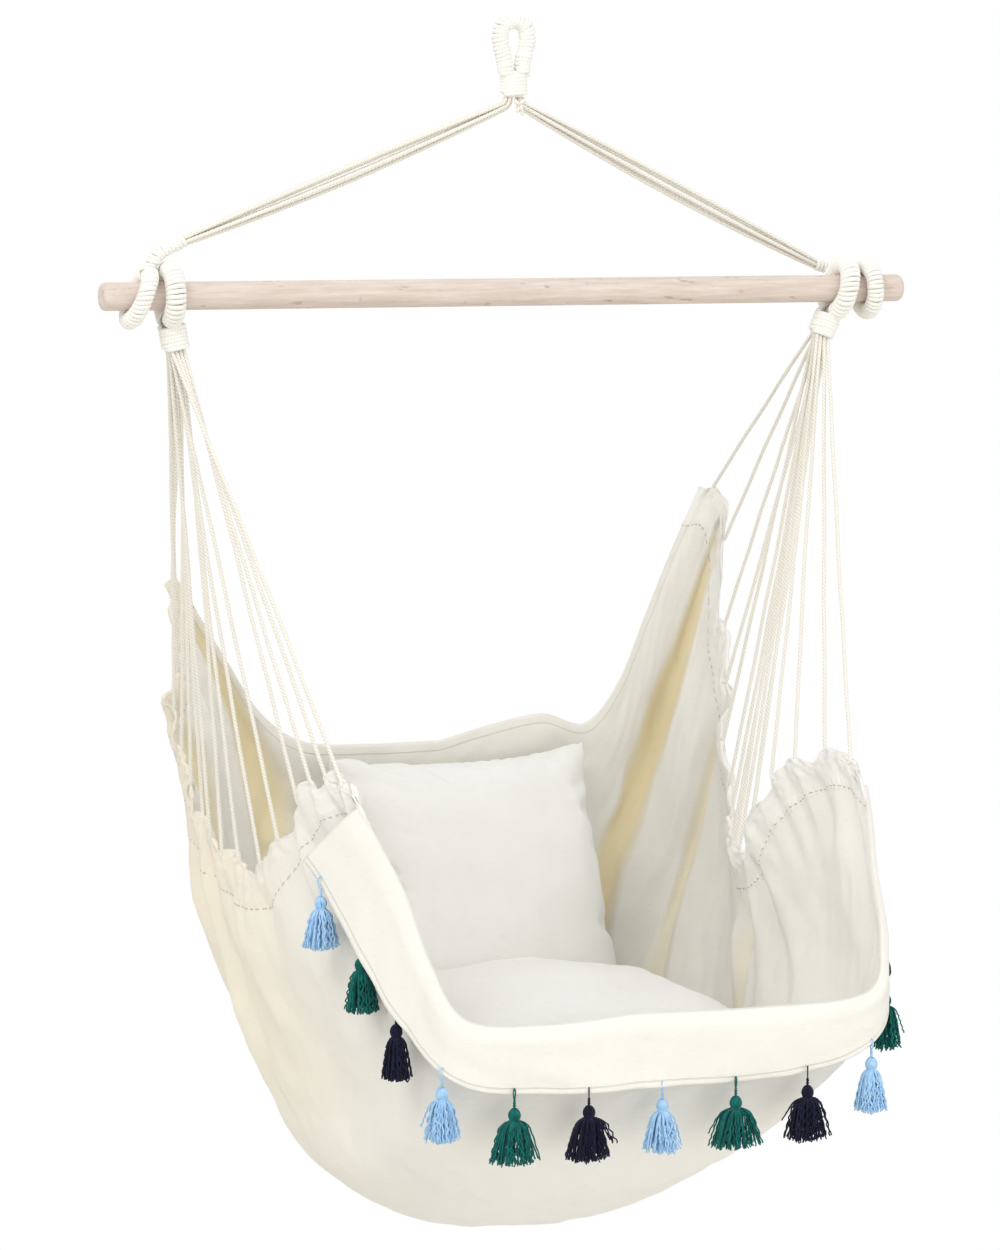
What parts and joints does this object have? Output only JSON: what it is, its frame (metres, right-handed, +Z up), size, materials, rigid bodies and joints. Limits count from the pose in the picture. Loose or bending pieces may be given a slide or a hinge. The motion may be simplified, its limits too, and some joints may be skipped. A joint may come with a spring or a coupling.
{
  "type": "hammock chair",
  "caption": "Hanging canvas seat with loose cushions and a tasselled front flap, held by fans of cotton cords under a round wooden spreader bar and one whipped rope loop.",
  "frame": {"origin": "inside top of the hanging loop, where a ceiling hook bears", "axes": "+Z up, X along the spreader bar, the seat's open front towards -Y"},
  "size_m": [0.985, 0.7078, 1.4014],
  "materials": {
    "wood": "satin, fine grain",
    "cord": "twisted cotton",
    "twine": "close wound cotton twine",
    "cloth": "plain woven canvas",
    "cushion": "soft woven cover",
    "light_blue": "yarn",
    "green": "yarn",
    "navy": "yarn"
  },
  "bodies": {
    "hanging_loop": {"hanging_loop": "cord", "loop_whipping": "twine", "throat_whipping": "twine"},
    "harness": {"top_cord_left_1": "cord", "top_cord_left_2": "cord", "top_cord_left_3": "cord", "top_cord_left_4": "cord", "top_cord_left_5": "cord", "top_cord_right_1": "cord", "top_cord_right_2": "cord", "top_cord_right_3": "cord", "top_cord_right_4": "cord", "top_cord_right_5": "cord", "upper_eye_left": "cord", "upper_eye_right": "cord", "upper_whipping_left": "twine", "upper_whipping_right": "twine", "neck_whipping_left": "twine", "neck_whipping_right": "twine"},
    "spreader_bar": {"spreader_bar": "wood"},
    "seat": {"lower_eye_left": "cord", "lower_eye_right": "cord", "lower_whipping_left": "twine", "lower_whipping_right": "twine", "collar_whipping_left": "twine", "collar_whipping_right": "twine", "seat_cord_left_1": "cord", "seat_cord_left_2": "cord", "seat_cord_left_3": "cord", "seat_cord_left_4": "cord", "seat_cord_left_5": "cord", "seat_cord_left_6": "cord", "seat_cord_left_7": "cord", "seat_cord_left_8": "cord", "seat_cord_right_1": "cord", "seat_cord_right_2": "cord", "seat_cord_right_3": "cord", "seat_cord_right_4": "cord", "seat_cord_right_5": "cord", "seat_cord_right_6": "cord", "seat_cord_right_7": "cord", "seat_cord_right_8": "cord", "side_casing_left": "cloth", "side_casing_right": "cloth", "seat_cloth": "cloth"},
    "seat_cushion": {"seat_cushion": "cushion"},
    "back_cushion": {"back_cushion": "cushion"},
    "tassel_1": {"tassel_1": "light_blue"},
    "tassel_2": {"tassel_2": "green"},
    "tassel_3": {"tassel_3": "navy"},
    "tassel_4": {"tassel_4": "light_blue"},
    "tassel_5": {"tassel_5": "green"},
    "tassel_6": {"tassel_6": "navy"},
    "tassel_7": {"tassel_7": "light_blue"},
    "tassel_8": {"tassel_8": "green"},
    "tassel_9": {"tassel_9": "navy"},
    "tassel_10": {"tassel_10": "light_blue"},
    "tassel_11": {"tassel_11": "green"},
    "tassel_12": {"tassel_12": "navy"},
    "tassel_13": {"tassel_13": "light_blue"}
  },
  "joints": [
    {"name": "chair_turn", "type": "hinge", "parent": "hanging_loop", "child": "harness", "pos_m": [0, 0, -0.0782], "axis": [0, 0, 1], "range_deg": [-180, 180]},
    {"name": "bar_roll", "type": "hinge", "parent": "harness", "child": "spreader_bar", "pos_m": [0, 0, -0.302], "axis": [1, 0, 0], "continuous": true},
    {"name": "seat_rock", "type": "hinge", "parent": "harness", "child": "seat", "pos_m": [0, 0, -0.302], "axis": [1, 0, 0], "range_deg": [-20, 20]},
    {"name": "seat_cushion_lift", "type": "slide", "parent": "seat", "child": "seat_cushion", "axis": [0, 0, 1], "range_m": [0, 0.2]},
    {"name": "back_cushion_lift", "type": "slide", "parent": "seat_cushion", "child": "back_cushion", "axis": [0, 0, 1], "range_m": [0, 0.25]},
    {"name": "tassel_1_swing", "type": "hinge", "parent": "seat", "child": "tassel_1", "pos_m": [-0.31358, -0.2389, -0.93141], "axis": [-0.5398, 0.8418, 0], "range_deg": [-5, 30]},
    {"name": "tassel_2_swing", "type": "hinge", "parent": "seat", "child": "tassel_2", "pos_m": [-0.28372, -0.28843, -0.99325], "axis": [-0.5332, 0.846, 0], "range_deg": [0, 30]},
    {"name": "tassel_3_swing", "type": "hinge", "parent": "seat", "child": "tassel_3", "pos_m": [-0.26029, -0.33815, -1.05894], "axis": [-0.5401, 0.8416, 0], "range_deg": [-10, 30]},
    {"name": "tassel_4_swing", "type": "hinge", "parent": "seat", "child": "tassel_4", "pos_m": [-0.22401, -0.38416, -1.12163], "axis": [-0.7755, 0.6314, 0], "range_deg": [-20, 30]},
    {"name": "tassel_5_swing", "type": "hinge", "parent": "seat", "child": "tassel_5", "pos_m": [-0.14636, -0.39903, -1.14743], "axis": [-0.9999, 0.0144, 0], "range_deg": [-20, 30]},
    {"name": "tassel_6_swing", "type": "hinge", "parent": "seat", "child": "tassel_6", "pos_m": [-0.0599, -0.39912, -1.15092], "axis": [-0.9998, -0.0196, 0], "range_deg": [-20, 30]},
    {"name": "tassel_7_swing", "type": "hinge", "parent": "seat", "child": "tassel_7", "pos_m": [0.02685, -0.39776, -1.15032], "axis": [-1, 0.0062, 0], "range_deg": [-20, 30]},
    {"name": "tassel_8_swing", "type": "hinge", "parent": "seat", "child": "tassel_8", "pos_m": [0.11368, -0.39885, -1.1533], "axis": [-1, 0.0089, 0], "range_deg": [-20, 30]},
    {"name": "tassel_9_swing", "type": "hinge", "parent": "seat", "child": "tassel_9", "pos_m": [0.20029, -0.39831, -1.14806], "axis": [-0.9996, -0.0294, 0], "range_deg": [-20, 30]},
    {"name": "tassel_10_swing", "type": "hinge", "parent": "seat", "child": "tassel_10", "pos_m": [0.28167, -0.39003, -1.12396], "axis": [-0.7345, -0.6786, 0], "range_deg": [-20, 30]},
    {"name": "tassel_11_swing", "type": "hinge", "parent": "seat", "child": "tassel_11", "pos_m": [0.31775, -0.3477, -1.06209], "axis": [-0.2369, -0.9715, 0], "range_deg": [-10, 25]},
    {"name": "tassel_12_swing", "type": "hinge", "parent": "seat", "child": "tassel_12", "pos_m": [0.32398, -0.30171, -0.9907], "axis": [-0.0965, -0.9953, 0], "range_deg": [0, 20]},
    {"name": "tassel_13_swing", "type": "hinge", "parent": "seat", "child": "tassel_13", "pos_m": [0.33075, -0.25925, -0.91768], "axis": [-0.1043, -0.9945, 0], "range_deg": [0, 12]}
  ]
}
